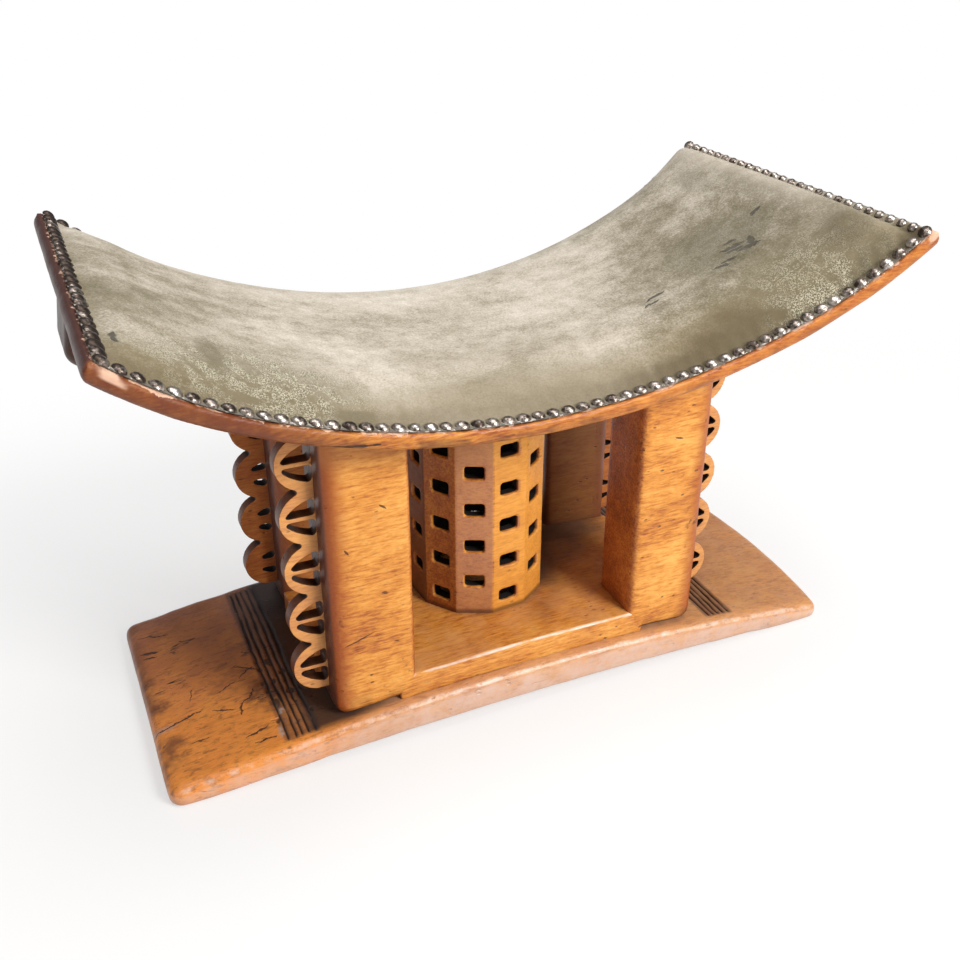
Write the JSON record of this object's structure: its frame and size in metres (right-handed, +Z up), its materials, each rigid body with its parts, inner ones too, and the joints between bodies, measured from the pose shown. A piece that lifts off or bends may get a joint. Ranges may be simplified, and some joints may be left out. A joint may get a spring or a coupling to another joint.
{
  "type": "ashanti stool",
  "caption": "Carved wooden stool: a curved seat with a nailed cloth cover, on corner posts with scalloped strips and a pierced hollow column over an arched base.",
  "frame": {"origin": "on the ground under the middle of the pierced column", "axes": "+X along the stool to its right end, +Y from its front to its back, +Z up"},
  "size_m": [0.603, 0.318, 0.3734],
  "materials": {
    "carved_wood": "hand-carved, oiled and worn golden-brown wood",
    "stuffing": "fibre stuffing",
    "velvet_cover": "worn olive velvet with a faint woven pattern",
    "nail_heads": "tarnished dome-headed nails"
  },
  "bodies": {
    "root": {"seat_slab": "carved_wood", "left_lug": "carved_wood", "right_lug": "carved_wood", "front_left_post": "carved_wood", "front_right_post": "carved_wood", "back_left_post": "carved_wood", "back_right_post": "carved_wood", "front_left_fret": "carved_wood", "front_right_fret": "carved_wood", "back_left_fret": "carved_wood", "back_right_fret": "carved_wood", "pierced_column": "carved_wood", "plinth": "carved_wood", "base_slab": "carved_wood", "seat_padding": "stuffing", "seat_cover": "velvet_cover", "front_nails": "nail_heads", "back_nails": "nail_heads", "left_nails": "nail_heads", "right_nails": "nail_heads"}
  },
  "joints": []
}
